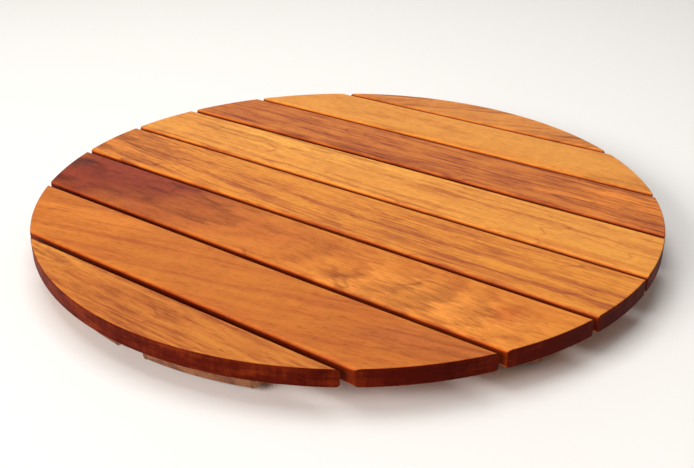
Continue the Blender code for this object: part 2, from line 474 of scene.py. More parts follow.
def buildFoot(name, material):
    lowest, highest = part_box(name)
    top = highest.z
    tread = footShape["treadRadius"]
    base = footShape["baseRadius"]
    well = footShape["wellRadius"]
    groove = footShape["grooveDepth"]
    bore = footShape["boreRadius"]
    beltHeight = top * footShape["beltAt"]
    beltRadius = tread + (base - tread) * footShape["beltAt"]
    # down the side with its belt, under the tread with its groove, then up the well
    profile = [
        (bore, top),
        (base, top),
        (beltRadius + 0.00025, beltHeight + 0.0003),
        (beltRadius + 0.00025, beltHeight - 0.0003),
        (beltRadius - 0.00015, beltHeight - 0.0006),
        (tread, lowest.z),
        (tread - 0.0017, lowest.z),
        (tread - 0.0020, lowest.z + groove),
        (tread - 0.0027, lowest.z + groove),
        (tread - 0.0030, lowest.z),
        (well, lowest.z),
        (well, footShape["wellTop"]),
        (bore, footShape["wellTop"]),
        (bore, top),
    ]
    bm = turnProfile(profile, centreOf(name), footShape["steps"])
    easeSharp(bm, 0.00018, 2, 25)
    turnedPiece(name + "_rubber", bm, material, name)


def buildFootScrew(name, material):
    lowest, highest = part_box(name)
    place = centreOf(name)
    head = footShape["screwHeadRadius"]
    bottom = lowest.z
    seat = bottom + footShape["screwHeadHeight"]
    shank = footShape["screwShankRadius"]
    root = footShape["screwRootRadius"]
    socket = screwShape["socketRadius"] * 0.9
    depth = footShape["screwHeadHeight"] * 0.6
    profile = [
        (0.0, highest.z),
        (root, highest.z - 0.0035),
        (root, battenBottom + 0.001),
        (shank, battenBottom + 0.0002),
        (shank, seat),
        (head, seat),
        (head, seat - 0.0006),
        (head * 0.94, seat - 0.0012),
        (head * 0.80, seat - 0.0017),
        (head * 0.62, bottom),
        (socket, bottom),
        (socket, bottom + depth),
        (0.0, bottom + depth * 1.12),
    ]
    bm = turnProfile(profile, place, screwShape["steps"])
    lobeSocket(bm, place, socket, bottom, bottom + depth * 1.05)
    easeSharp(bm, 0.0001, 2)
    threadStart = battenBottom + 0.0015
    threadEnd = highest.z - 0.003
    addThread(bm, place, threadStart, threadEnd, root, shank)
    bmesh.ops.recalc_face_normals(bm, faces=bm.faces)
    turnedPiece(name + "_steel", bm, material, name)


# small helpers for shader nodes

def addNode(tree, kind, x, y, **settings):
    made = tree.nodes.new(kind)
    made.location = (x * 190, y * 190)
    for key, value in settings.items():
        setattr(made, key, value)
    return made


def plug(tree, value, socket):
    if isinstance(value, bpy.types.NodeSocket):
        tree.links.new(value, socket)
    elif value is not None:
        socket.default_value = value


def calc(tree, x, y, operation, first, second=None, third=None, clamp=False):
    made = addNode(tree, "ShaderNodeMath", x, y, operation=operation, use_clamp=clamp)
    for value, socket in zip((first, second, third), made.inputs):
        plug(tree, value, socket)
    return made.outputs[0]


def calcVector(tree, x, y, operation, first, second=None, scale=None):
    made = addNode(tree, "ShaderNodeVectorMath", x, y, operation=operation)
    plug(tree, first, made.inputs[0])
    plug(tree, second, made.inputs[1])
    if scale is not None:
        plug(tree, scale, made.inputs["Scale"])
    return made.outputs["Value"] if operation == "LENGTH" else made.outputs["Vector"]


def soften(tree, x, y, value, low, high, toLow=0.0, toHigh=1.0):
    made = addNode(tree, "ShaderNodeMapRange", x, y, interpolation_type="SMOOTHSTEP")
    plug(tree, value, made.inputs["Value"])
    plug(tree, low, made.inputs["From Min"])
    plug(tree, high, made.inputs["From Max"])
    plug(tree, toLow, made.inputs["To Min"])
    plug(tree, toHigh, made.inputs["To Max"])
    return made.outputs["Result"]


def noiseOf(tree, x, y, vector, scale, detail=2.0, roughness=0.5, distortion=0.0):
    made = addNode(tree, "ShaderNodeTexNoise", x, y)
    plug(tree, vector, made.inputs["Vector"])
    plug(tree, scale, made.inputs["Scale"])
    plug(tree, detail, made.inputs["Detail"])
    plug(tree, roughness, made.inputs["Roughness"])
    plug(tree, distortion, made.inputs["Distortion"])
    return made


def mixColour(tree, x, y, factor, first, second, blend="MIX"):
    made = addNode(tree, "ShaderNodeMix", x, y, data_type="RGBA", blend_type=blend)
    plug(tree, factor, made.inputs[0])
    colours = [socket for socket in made.inputs if socket.type == "RGBA"]
    plug(tree, first, colours[0])
    plug(tree, second, colours[1])
    return [socket for socket in made.outputs if socket.type == "RGBA"][0]


def mapping(tree, x, y, vector, place, turn=(0, 0, 0), size=(1, 1, 1)):
    # centres the pattern on a place in metres, turned by degrees
    made = addNode(tree, "ShaderNodeMapping", x, y, vector_type="TEXTURE")
    plug(tree, vector, made.inputs["Vector"])
    made.inputs["Location"].default_value = place
    made.inputs["Rotation"].default_value = [math.radians(angle) for angle in turn]
    made.inputs["Scale"].default_value = size
    return made.outputs["Vector"]


def newGroup(name, inputs, outputs):
    group = bpy.data.node_groups.new(name, "ShaderNodeTree")
    kinds = {float: "NodeSocketFloat", tuple: "NodeSocketVector"}
    for label, value in inputs.items():
        socket = group.interface.new_socket(name=label, in_out="INPUT", socket_type=kinds[type(value)])
        socket.default_value = value
    for label, kind in outputs.items():
        group.interface.new_socket(name=label, in_out="OUTPUT", socket_type=kinds[kind])
    start = addNode(group, "NodeGroupInput", -6, 0)
    end = addNode(group, "NodeGroupOutput", 9, 0)
    return group, start.outputs, end.inputs


def useGroup(tree, x, y, group, **values):
    made = addNode(tree, "ShaderNodeGroup", x, y, node_tree=group)
    for label, value in values.items():
        plug(tree, value, made.inputs[label])
    return made.outputs


# how finely each pattern of the wood repeats, per metre along X, Y and Z
grainScale = {
    "drift": (3.0, 7.0, 7.0),
    "ragged": (9.0, 75.0, 75.0),
    "broken": (7.0, 45.0, 45.0),
    "flecks": (42.0, 360.0, 360.0),
    "fibres": (60.0, 1300.0, 1300.0),
    "pores": (95.0, 1150.0, 1150.0),
    "mottle": (13.0, 34.0, 34.0),
    "veinFields": (11.0, 30.0, 30.0),
    "ripple": (60.0, 14.0, 14.0),
    "rimFlames": (20.0, 20.0, 130.0),
    "rimStreaks": (170.0, 170.0, 24.0),
    "rimBlotches": (18.0, 18.0, 30.0),
}


def stretchedNoise(tree, x, y, place, scale, *settings):
    stretched = calcVector(tree, x - 1, y, "MULTIPLY", place, scale)
    return noiseOf(tree, x, y, stretched, 1.0, *settings).outputs["Fac"]


def makeRings():
    # growth rings round a pith: Place is in metres with the pith at its origin and X along the grain
    group, given, out = newGroup(
        "growthRings",
        {"Place": (0.0, 0.0, 0.0), "Taper": 0.03, "Spacing": 0.006, "Wander": 0.004,
         "Ragged": 0.3, "Knot": (9.0, 9.0, 9.0)},
        {"Rings": float, "Bands": float, "Flow": tuple})
    loose = calcVector(group, -5, 1, "MULTIPLY", given["Place"], grainScale["drift"])
    drift = noiseOf(group, -4, 1, loose, 1.0, 2.0, 0.5).outputs["Color"]
    drift = calcVector(group, -3, 1, "SUBTRACT", drift, (0.5, 0.5, 0.5))
    drift = calcVector(group, -2, 1, "MULTIPLY", drift, (0.0, 2.0, 2.0))
    drift = calcVector(group, -1, 1, "SCALE", drift, scale=given["Wander"])
    flow = calcVector(group, 0, 1, "ADD", given["Place"], drift)
    taper = addNode(group, "ShaderNodeCombineXYZ", 0, 0)
    plug(group, given["Taper"], taper.inputs["X"])
    plug(group, 1.0, taper.inputs["Y"])
    plug(group, 1.0, taper.inputs["Z"])
    narrow = calcVector(group, 1, 0, "MULTIPLY", flow, taper.outputs["Vector"])
    reach = calcVector(group, 2, 0, "LENGTH", narrow)
    toKnot = calcVector(group, 1, -1, "SUBTRACT", flow, given["Knot"])
    toKnot = calcVector(group, 1.5, -1, "MULTIPLY", toKnot, (0.7, 1.0, 0.25))
    knotReach = calcVector(group, 2, -1, "LENGTH", toKnot)
    reach = calc(group, 3, 0, "SMOOTH_MIN", reach, knotReach, 0.05)
    ragged = stretchedNoise(group, 2, 2, flow, grainScale["ragged"], 3.0, 0.55)
    ragged = calc(group, 3, 2, "SUBTRACT", ragged, 0.5)
    ragged = calc(group, 3.5, 2, "MULTIPLY", ragged, given["Ragged"])
    count = calc(group, 3.5, 0, "DIVIDE", reach, given["Spacing"])
    slow = addNode(group, "ShaderNodeTexNoise", 4, -1, noise_dimensions="1D")
    plug(group, calc(group, 3.5, -1, "MULTIPLY", count, 0.31), slow.inputs["W"])
    plug(group, 1.0, slow.inputs["Scale"])
    plug(group, 1.0, slow.inputs["Detail"])
    count = calc(group, 4.5, 0, "MULTIPLY_ADD", slow.outputs["Fac"], 1.6, count)
    count = calc(group, 5, 0, "MULTIPLY_ADD", ragged, 4.0, count)
    part = calc(group, 5.5, 0, "FRACT", count)
    whole = calc(group, 5.5, -1, "FLOOR", count)
    chance = addNode(group, "ShaderNodeTexWhiteNoise", 6, -1, noise_dimensions="1D")
    plug(group, whole, chance.inputs["W"])
    strength = calc(group, 6.5, -1, "MULTIPLY_ADD", chance.outputs["Value"], 0.65, 0.35)
    rise = soften(group, 6, 0, part, 0.1, 0.78)
    fall = soften(group, 6, 1, part, 0.82, 1.0, 1.0, 0.0)
    broken = stretchedNoise(group, 6, 3, flow, grainScale["broken"], 2.0, 0.5)
    broken = soften(group, 7, 3, broken, 0.32, 0.62, 0.15, 1.0)
    line = calc(group, 7, 0, "MULTIPLY", rise, fall)
    line = calc(group, 7, 0.5, "MULTIPLY", line, broken)
    plug(group, calc(group, 7.5, 0, "MULTIPLY", line, strength), out["Rings"])
    broad = addNode(group, "ShaderNodeTexNoise", 6, 2, noise_dimensions="1D")
    plug(group, calc(group, 5.5, 2, "MULTIPLY", count, 0.42), broad.inputs["W"])
    plug(group, 1.0, broad.inputs["Scale"])
    plug(group, 2.0, broad.inputs["Detail"])
    plug(group, soften(group, 7, 2, broad.outputs["Fac"], 0.3, 0.7), out["Bands"])
    plug(group, flow, out["Flow"])
    return group


def makeFibres():
    # what runs along the grain: broad streaks, short flecks, fibres and pores; then the figure across it
    group, given, out = newGroup(
        "woodFibres",
        {"Flow": (0.0, 0.0, 0.0), "StreakWidth": 0.006, "VeinScale": (6.0, 22.0, 22.0)},
        {"Streaks": float, "Flecks": float, "Fibres": float, "Pores": float, "Mottle": float,
         "Veins": float, "Ripple": float})
    wide = calcVector(group, -4, 2, "MULTIPLY", given["Flow"], (0.085, 1.0, 1.0))
    per = calc(group, -4, 1, "DIVIDE", 1.0, given["StreakWidth"])
    wide = calcVector(group, -3, 2, "SCALE", wide, scale=per)
    streaks = noiseOf(group, -2, 2, wide, 1.0, 4.0, 0.62).outputs["Fac"]
    plug(group, soften(group, -1, 2, streaks, 0.3, 0.7), out["Streaks"])
    flecks = stretchedNoise(group, -3, 3, given["Flow"], grainScale["flecks"], 3.0, 0.6, 0.25)
    plug(group, soften(group, -2, 3, flecks, 0.32, 0.68), out["Flecks"])
    fibres = stretchedNoise(group, -3, 0, given["Flow"], grainScale["fibres"], 2.0, 0.6)
    plug(group, soften(group, -2, 0, fibres, 0.25, 0.75), out["Fibres"])
    pores = stretchedNoise(group, -3, -1, given["Flow"], grainScale["pores"], 1.0, 0.5)
    plug(group, soften(group, -2, -1, pores, 0.60, 0.70), out["Pores"])
    cloud = stretchedNoise(group, -3, -2, given["Flow"], grainScale["mottle"], 4.0, 0.6, 0.6)
    plug(group, soften(group, -2, -2, cloud, 0.32, 0.68), out["Mottle"])
    winding = calcVector(group, -4, -3, "MULTIPLY", given["Flow"], given["VeinScale"])
    winding = noiseOf(group, -3, -3, winding, 1.0, 1.5, 0.5, 0.2).outputs["Fac"]
    winding = calc(group, -2, -3, "ABSOLUTE", calc(group, -2.5, -3, "SUBTRACT", winding, 0.5))
    vein = soften(group, -1, -3, winding, 0.016, 0.0)
    seldom = stretchedNoise(group, -3, -4, given["Flow"], grainScale["veinFields"], 2.0, 0.5)
    seldom = soften(group, -2, -4, seldom, 0.45, 0.65)
    plug(group, calc(group, 0, -3, "MULTIPLY", vein, seldom), out["Veins"])
    ripple = stretchedNoise(group, -3, -5, given["Flow"], grainScale["ripple"], 2.0, 0.5, 1.2)
    plug(group, soften(group, -2, -5, ripple, 0.25, 0.75), out["Ripple"])
    return group


def makePatch():
    # a soft ragged spot: Spot is mapped so that the spot is a ball of radius 1
    group, given, out = newGroup("softPatch", {"Spot": (0.0, 0.0, 0.0), "Ragged": 0.6}, {"Mask": float})
    rough = noiseOf(group, -4, 1, given["Spot"], 1.7, 4.0, 0.6).outputs["Fac"]
    rough = calc(group, -3, 1, "SUBTRACT", rough, 0.5)
    rough = calc(group, -2, 1, "MULTIPLY", rough, given["Ragged"])
    reach = calcVector(group, -3, 0, "LENGTH", given["Spot"])
    reach = calc(group, -1, 0, "MULTIPLY_ADD", rough, 2.0, reach)
    plug(group, soften(group, 0, 0, reach, 1.0, 0.25), out["Mask"])
    return group


def makeSawnRim():
    # the turned rim of the disc, where the ends of the grain drink the oil and darken; the material darkens
    # it further with painted shade
    group, given, out = newGroup(
        "sawnRim",
        {"Place": (0.0, 0.0, 0.0), "Normal": (0.0, 0.0, 1.0), "Radius": 0.3556},
        {"Rim": float, "End Grain": float, "Burn": float, "Sides": float})
    flat = calcVector(group, -4, 0, "MULTIPLY", given["Place"], (1.0, 1.0, 0.0))
    reach = calcVector(group, -3, 0, "LENGTH", flat)
    fromRim = calc(group, -2, 0, "SUBTRACT", given["Radius"], reach)
    near = soften(group, -1, 0, fromRim, 0.0017, 0.0002)
    parts = addNode(group, "ShaderNodeSeparateXYZ", -4, -1)
    plug(group, given["Normal"], parts.inputs[0])
    upright = calc(group, -3, -1, "ABSOLUTE", parts.outputs["Z"])
    upright = soften(group, -2, -1, upright, 0.93, 0.45)
    rim = calc(group, 0, 0, "MULTIPLY", near, upright)
    plug(group, rim, out["Rim"])
    steep = calc(group, -2, -3, "ABSOLUTE", parts.outputs["Z"])
    plug(group, calc(group, -1, -3, "SUBTRACT", 1.0, steep), out["Sides"])
    across = calc(group, -3, -2, "ABSOLUTE", parts.outputs["X"])
    across = soften(group, -2, -2, across, 0.15, 0.8)
    plug(group, calc(group, 1, -1, "MULTIPLY", rim, across), out["End Grain"])
    # level flames and blotches, a few narrow upright streaks between them, a little more towards +X; that
    # lean is painted shade on the side turned from the lamps
    level = stretchedNoise(group, -3, 2, given["Place"], grainScale["rimFlames"], 3.0, 0.6, 0.4)
    upDown = stretchedNoise(group, -3, 4, given["Place"], grainScale["rimStreaks"], 3.0, 0.65)
    blotch = stretchedNoise(group, -3, 3, given["Place"], grainScale["rimBlotches"], 3.0, 0.55)
    both = calc(group, -2, 3, "MULTIPLY_ADD", upDown, 0.25, calc(group, -2.5, 3, "MULTIPLY", blotch, 0.45))
    both = calc(group, -2, 2, "MULTIPLY_ADD", level, 0.5, both)
    # painted shade: the blotches spread a little towards +X, the side turned from the lamps
    spots = addNode(group, "ShaderNodeSeparateXYZ", -3, 5)
    plug(group, given["Place"], spots.inputs[0])
    both = calc(group, -1.5, 3, "MULTIPLY_ADD", spots.outputs["X"], 0.10, both)
    blotchShadeMask = soften(group, -1, 2.5, both, 0.48, 0.68)
    plug(group, calc(group, 1, 2, "MULTIPLY", blotchShadeMask, rim), out["Burn"])
    return group


woodGroups = {
    "rings": makeRings(),
    "fibres": makeFibres(),
    "patch": makePatch(),
    "rim": makeSawnRim(),
}


# the look of each slat: pith is where its rings centre, in metres from the middle of the slat's top

slatLooks = {
    "slat_1": {
        "pith": (0.05, 0.15, -0.07), "turn": (0, 0, -1.0), "taper": 0.03, "spacing": 0.0075,
        "wander": 0.004, "ragged": 0.35, "streakWidth": 0.007,
        "ringShare": 0.32, "streakShare": 0.44, "bandShare": 0.3,
        "dark": (0.332, 0.0837, 0.0231), "middle": (0.485, 0.146, 0.0308), "light": (0.573, 0.21, 0.0383),
        "patches": [((-0.01, -0.316, 0.04), (0.15, 0.016, 0.05), 0, (0.303, 0.0704, 0.0181), 0.45),
                    ((-0.17, -0.305, 0.04), (0.09, 0.03, 0.05), 0, (0.626, 0.244, 0.0463), 0.35)],
    },
    "slat_2": {
        "pith": (0.0, -0.16, -0.10), "turn": (0, 0, 13.0), "taper": 0.05, "spacing": 0.011,
        "wander": 0.006, "ragged": 0.25, "streakWidth": 0.010,
        "ringShare": 0.26, "streakShare": 0.32, "bandShare": 0.22,
        "fleckShare": 0.15, "mottleShare": 0.16, "veinShare": 0.26, "veinScale": (5, 30, 30),
        "dark": (0.377, 0.0883, 0.0228), "middle": (0.49, 0.139, 0.0266), "light": (0.536, 0.175, 0.0296),
        "patches": [((0.235, -0.222, 0.04), (0.10, 0.028, 0.05), 12, (0.288, 0.065, 0.0254), 0.5),
                    ((-0.20, -0.235, 0.04), (0.14, 0.05, 0.05), 10, (0.538, 0.172, 0.0304), 0.4)],
    },
    "slat_3": {
        "pith": (-0.115, 0.004, -0.012), "turn": (0, 0, 0.0), "taper": 0.36, "spacing": 0.015,
        "wander": 0.016, "ragged": 0.45, "streakWidth": 0.012,
        "ringShare": 0.26, "streakShare": 0.24, "bandShare": 0.30,
        "knot": (-0.190, -0.004, 0.0), "veinScale": (9, 17, 17), "veinShare": 0.30,
        "mottleShare": 0.16, "fleckShare": 0.20,
        "dark": (0.403, 0.101, 0.0236), "middle": (0.56, 0.171, 0.0295), "light": (0.65, 0.237, 0.0368),
        "patches": [((-0.245, -0.135, 0.04), (0.270, 0.150, 0.09), 12, (0.165, 0.026, 0.0144), 0.97),
                    ((-0.06, -0.15, 0.04), (0.22, 0.080, 0.05), 4, (0.29, 0.0632, 0.0175), 0.6),
                    ((-0.318, -0.130, 0.04), (0.030, 0.018, 0.05), 30, (0.082, 0.0224, 0.0187), 0.75),
                    ((0.20, -0.165, 0.04), (0.16, 0.070, 0.05), 4, (0.60, 0.215, 0.045), 0.55),
                    ((0.275, -0.135, 0.04), (0.030, 0.020, 0.05), 60, (0.35, 0.0694, 0.015), 0.6)],
    },
    "slat_4": {
        "pith": (0.14, 0.16, -0.05), "turn": (0, 0, -0.6), "taper": 0.20, "spacing": 0.0066,
        "wander": 0.008, "ragged": 0.36, "streakWidth": 0.009,
        "ringShare": 0.44, "streakShare": 0.46, "bandShare": 0.3,
        "dark": (0.367, 0.0943, 0.0283), "middle": (0.573, 0.188, 0.0327), "light": (0.672, 0.265, 0.0413),
        "patches": [((-0.31, -0.045, 0.04), (0.14, 0.07, 0.05), 0, (0.389, 0.109, 0.0261), 0.55)],
    },
    "slat_5": {
        "pith": (-0.10, -0.13, -0.05), "turn": (0, 0, -1.6), "taper": 0.04, "spacing": 0.0120,
        "wander": 0.007, "ragged": 0.28, "streakWidth": 0.010,
        "ringShare": 0.38, "streakShare": 0.32, "bandShare": 0.24,
        "dark": (0.456, 0.138, 0.0315), "middle": (0.651, 0.251, 0.0473), "light": (0.723, 0.315, 0.0547),
        "patches": [((0.27, 0.012, 0.04), (0.12, 0.010, 0.05), -1, (0.379, 0.103, 0.0198), 0.6),
                    ((-0.12, 0.07, 0.04), (0.25, 0.035, 0.05), 0, (0.735, 0.318, 0.0594), 0.5)],
    },
    "slat_6": {
        "pith": (0.10, 0.12, -0.06), "turn": (0, 0, -1.4), "taper": 0.03, "spacing": 0.0052,
        "wander": 0.006, "ragged": 0.4, "streakWidth": 0.0055,
        "ringShare": 0.5, "streakShare": 0.55, "bandShare": 0.3,
        "dark": (0.264, 0.0555, 0.0204), "middle": (0.465, 0.128, 0.0288), "light": (0.556, 0.184, 0.0343),
        "patches": [((-0.04, 0.110, 0.04), (0.15, 0.017, 0.05), 0, (0.237, 0.0463, 0.0159), 0.65),
                    ((0.28, 0.15, 0.04), (0.12, 0.05, 0.05), 0, (0.541, 0.164, 0.0259), 0.5)],
    },
    "slat_7": {
        "pith": (-0.09, -0.01, -0.070), "turn": (0, 0, 1.0), "taper": 0.20, "spacing": 0.0085,
        "wander": 0.012, "ragged": 0.22, "streakWidth": 0.011,
        "ringShare": 0.24, "streakShare": 0.24, "bandShare": 0.34,
        "dark": (0.492, 0.163, 0.0295), "middle": (0.642, 0.248, 0.0458), "light": (0.686, 0.294, 0.0518),
        "patches": [((0.10, 0.205, 0.04), (0.30, 0.014, 0.05), 0, (0.505, 0.161, 0.0202), 0.5)],
    },
    "slat_8": {
        "pith": (0.0, 0.10, -0.06), "turn": (0, 0, 20.0), "taper": 0.05, "spacing": 0.013,
        "wander": 0.006, "ragged": 0.3, "streakWidth": 0.011,
        "ringShare": 0.5, "streakShare": 0.36, "bandShare": 0.36,
        "dark": (0.408, 0.127, 0.0309), "middle": (0.579, 0.204, 0.0432), "light": (0.634, 0.257, 0.0506),
        "patches": [((0.16, 0.305, 0.04), (0.07, 0.02, 0.05), 14, (0.385, 0.112, 0.0243), 0.6)],
    },
}

slatFinish = {
    "roughness": 0.36,
    "specular": 0.03,        # oiled wood, hardly any shine
    "coat": 0.04,
    "coatRoughness": 0.28,
    "relief": 0.28,
}
poreTint = (0.45, 0.36, 0.34, 1.0)

rimLook = {
    "oiled": (0.30, 0.105, 0.06, 1.0),     # what the rim's oil does to the wood's colour, made darker still as painted shade
    "endGrain": (0.80, 0.62, 0.60, 1.0),
    # the rim's dark blotches, with painted shade where they lean towards +X
    "burnt": (0.50, 0.26, 0.30, 1.0),
    # painted shade: the colour darkens and reddens as a long edge turns down into the gap
    "sides": [(0.0, (1.0, 1.0, 1.0)), (0.25, (1.0, 0.88, 0.76)), (0.5, (0.80, 0.52, 0.42)),
              (0.75, (0.40, 0.16, 0.13)), (1.0, (0.24, 0.075, 0.065))],
}


def sunkBump(tree, x, y, height, strength, distance):
    made = addNode(tree, "ShaderNodeBump", x, y)
    made.inputs["Strength"].default_value = strength
    made.inputs["Distance"].default_value = distance
    plug(tree, height, made.inputs["Height"])
    return made.outputs["Normal"]


def colourRamp(tree, x, y, value, stops, interpolation="LINEAR"):
    made = addNode(tree, "ShaderNodeValToRGB", x, y)
    made.color_ramp.interpolation = interpolation
    points = made.color_ramp.elements
    while len(points) < len(stops):
        points.new(0.5)
    for point, (position, colour) in zip(points, stops):
        point.position = position
        point.color = (*colour, 1.0)
    plug(tree, value, made.inputs["Fac"])
    return made.outputs["Color"]


def toneRamp(tree, x, y, value, dark, middle, light):
    deepest = [channel * share for channel, share in zip(dark, (0.8, 0.7, 0.75))]
    stops = [(0.0, deepest), (0.3, dark), (0.62, middle), (1.0, light)]
    return colourRamp(tree, x, y, value, stops, "B_SPLINE")


def newMaterial(name):
    material = bpy.data.materials.new(name)
    material.use_nodes = True
    tree = material.node_tree
    shader = tree.nodes["Principled BSDF"]
    shader.location = (17 * 190, 0)
    tree.nodes["Material Output"].location = (19 * 190, 0)
    return material, tree, shader.inputs


def woodGrain(tree, look, turned, spacing):
    # the tone falls below its middle with each dark ring, streak, band and vein
    rings = useGroup(tree, -1, 0, woodGroups["rings"], Place=turned, Taper=look["taper"], Spacing=spacing,
                     Wander=look["wander"], Ragged=look["ragged"], Knot=look.get("knot", (9, 9, 9)))
    fibres = useGroup(tree, 0, -1, woodGroups["fibres"], Flow=rings["Flow"],
                      StreakWidth=look["streakWidth"], VeinScale=look.get("veinScale", (6, 22, 22)))
    tone = calc(tree, 1, 1, "MULTIPLY_ADD", rings["Rings"], -look["ringShare"], 0.74)
    layers = [
        (fibres["Streaks"], look["streakShare"]),
        (rings["Bands"], look["bandShare"]),
        (fibres["Flecks"], look.get("fleckShare", 0.26)),
        (fibres["Mottle"], look.get("mottleShare", 0.22)),
    ]
    for step, (layer, share) in enumerate(layers):
        swing = calc(tree, 1.5 + step, 2, "SUBTRACT", layer, 0.5)
        tone = calc(tree, 2 + step, 1, "MULTIPLY_ADD", swing, share, tone)
    tone = calc(tree, 6, 1, "MULTIPLY_ADD", fibres["Veins"], -look.get("veinShare", 0.3), tone)
    fine = calc(tree, 6.5, 2, "SUBTRACT", fibres["Fibres"], 0.5)
    tone = calc(tree, 7, 1, "MULTIPLY_ADD", fine, 0.16, tone, clamp=True)
    colour = toneRamp(tree, 5, 1, tone, look["dark"], look["middle"], look["light"])
    return rings, fibres, tone, colour


def darkenPores(tree, x, pores, share, colour):
    darker = mixColour(tree, x, 0, 1.0, colour, poreTint, "MULTIPLY")
    poreShare = calc(tree, x, -1, "MULTIPLY", pores, share)
    return mixColour(tree, x + 1, 0, poreShare, colour, darker)


def slatMaterial(name):
    look = slatLooks[name]
    lowest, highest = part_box(name)
    middle = Vector((0, (lowest.y + highest.y) / 2, highest.z))
    material, tree, shader = newMaterial(name + "_teak")
    place = addNode(tree, "ShaderNodeTexCoord", -4, 0).outputs["Object"]
    normal = addNode(tree, "ShaderNodeNewGeometry", -4, -3).outputs["Normal"]
    turned = mapping(tree, -3, 0, place, middle + Vector(look["pith"]), look["turn"])
    rings, fibres, tone, colour = woodGrain(tree, look, turned, look["spacing"])
    rim = useGroup(tree, -1, -3, woodGroups["rim"], Place=place, Normal=normal, Radius=matRadius)
    for step, (centre, reach, turn, patchColour, share) in enumerate(look["patches"]):
        spot = mapping(tree, 3, -2 - step, place, centre, (0, 0, turn), reach)
        mask = useGroup(tree, 4, -2 - step, woodGroups["patch"], Spot=spot)["Mask"]
        mask = calc(tree, 5, -2 - step, "MULTIPLY", mask, share)
        tinted = toneRamp(tree, 6 + step, -2, tone, [c * 0.45 for c in patchColour], patchColour,
                          [min(c * 1.7, 1) for c in patchColour])
        colour = mixColour(tree, 7 + step, 0, mask, colour, tinted)
    colour = darkenPores(tree, 10, fibres["Pores"], 0.55, colour)
    ripple = soften(tree, 10, 2, fibres["Ripple"], 0.0, 1.0, 0.97, 1.03)
    gloss = calcVector(tree, 11.5, 1, "SCALE", colour, scale=ripple)
    # the rim's oiled end grain, darkened further all round by painted shade
    oiled = mixColour(tree, 12, 0, 1.0, gloss, rimLook["oiled"], "MULTIPLY")
    ended = mixColour(tree, 13, 0, rim["End Grain"], oiled, rimLook["endGrain"], "MULTIPLY")
    # dark blotches of the rim's own colour, with painted shade towards +X
    burnt = mixColour(tree, 14, 0, rim["Burn"], ended, rimLook["burnt"], "MULTIPLY")
    # painted shade on the long edges and in the gaps between slats, by how steeply the surface turns down
    gapShadeTint = colourRamp(tree, 14, 2, rim["Sides"], rimLook["sides"])
    gapShaded = mixColour(tree, 15, 1, 1.0, gloss, gapShadeTint, "MULTIPLY")
    plug(tree, mixColour(tree, 16, 0, rim["Rim"], gapShaded, burnt), shader["Base Color"])
    rough = calc(tree, 12, -2, "MULTIPLY_ADD", fibres["Pores"], 0.16, slatFinish["roughness"])
    rough = calc(tree, 13, -2, "MULTIPLY_ADD", fibres["Fibres"], 0.07, rough)
    rough = calc(tree, 14, -2, "MULTIPLY_ADD", rim["Rim"], 0.14, rough)
    plug(tree, rough, shader["Roughness"])
    height = calc(tree, 12, -3, "MULTIPLY_ADD", fibres["Pores"], -0.7, fibres["Fibres"])
    height = calc(tree, 13, -3, "MULTIPLY_ADD", rings["Rings"], 0.5, height)
    plug(tree, sunkBump(tree, 15, -3, height, slatFinish["relief"], 0.00016), shader["Normal"])
    bare = calc(tree, 12, -5, "MAXIMUM", rim["Rim"], rim["Sides"])
    plug(tree, soften(tree, 13, -5, bare, 0.0, 0.3, slatFinish["coat"], 0.0), shader["Coat Weight"])
    shader["Coat Roughness"].default_value = slatFinish["coatRoughness"]
    shader["Specular IOR Level"].default_value = slatFinish["specular"]
    return material


battenLook = {
    "pith": (0.03, 0.0, 0.05), "turn": (0, 0, 90), "taper": 0.05, "spacing": 0.006, "wander": 0.005,
    "ragged": 0.35, "streakWidth": 0.007, "ringShare": 0.45, "streakShare": 0.45, "bandShare": 0.3,
    "dark": (0.22, 0.075, 0.024), "middle": (0.38, 0.155, 0.052), "light": (0.47, 0.215, 0.080),
    "endTint": (0.55, 0.44, 0.42, 1.0),
    "planerMarks": 0.0032,    # distance between the planer's ripples
    "roughness": 0.50,
}


def battenMaterial(name):
    look = battenLook
    lowest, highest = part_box(name)
    middle = (lowest + highest) / 2
    seed = battenNames.index(name)
    material, tree, shader = newMaterial(name + "_teak")
    place = addNode(tree, "ShaderNodeTexCoord", -4, 0).outputs["Object"]
    normal = addNode(tree, "ShaderNodeNewGeometry", -4, -3).outputs["Normal"]
    pith = Vector((middle.x, 0.4 * seed, lowest.z)) + Vector(look["pith"]) * (-1) ** seed
    turned = mapping(tree, -3, 0, place, pith, look["turn"])
    rings, fibres, tone, colour = woodGrain(tree, look, turned, look["spacing"] * (1 + 0.2 * seed))
    colour = darkenPores(tree, 6, fibres["Pores"], 0.6, colour)
    parts = addNode(tree, "ShaderNodeSeparateXYZ", 5, -3)
    plug(tree, normal, parts.inputs[0])
    ends = soften(tree, 7, -3, calc(tree, 6, -3, "ABSOLUTE", parts.outputs["Y"]), 0.3, 0.85)
    colour = mixColour(tree, 8, 0, ends, colour, look["endTint"], "MULTIPLY")
    plug(tree, colour, shader["Base Color"])
    rough = calc(tree, 8, -2, "MULTIPLY_ADD", fibres["Fibres"], 0.12, look["roughness"])
    plug(tree, calc(tree, 9, -2, "MULTIPLY_ADD", ends, 0.15, rough), shader["Roughness"])
    split = addNode(tree, "ShaderNodeSeparateXYZ", 5, -5)
    plug(tree, place, split.inputs[0])
    planer = calc(tree, 6, -5, "MULTIPLY", split.outputs["Y"], math.tau / look["planerMarks"])
    planer = calc(tree, 7, -5, "SINE", planer)
    height = calc(tree, 8, -4, "MULTIPLY_ADD", fibres["Pores"], -0.8, fibres["Fibres"])
    height = calc(tree, 9, -4, "MULTIPLY_ADD", planer, 0.22, height)
    plug(tree, sunkBump(tree, 11, -4, height, 0.4, 0.00018), shader["Normal"])
    return material


steelLook = {
    "colour": (0.60, 0.59, 0.57),
    "dull": (0.40, 0.39, 0.37),
    "clouds": 420.0,
    "roughness": 0.27,
    "brushed": (900.0, 5200.0, 5200.0),
}


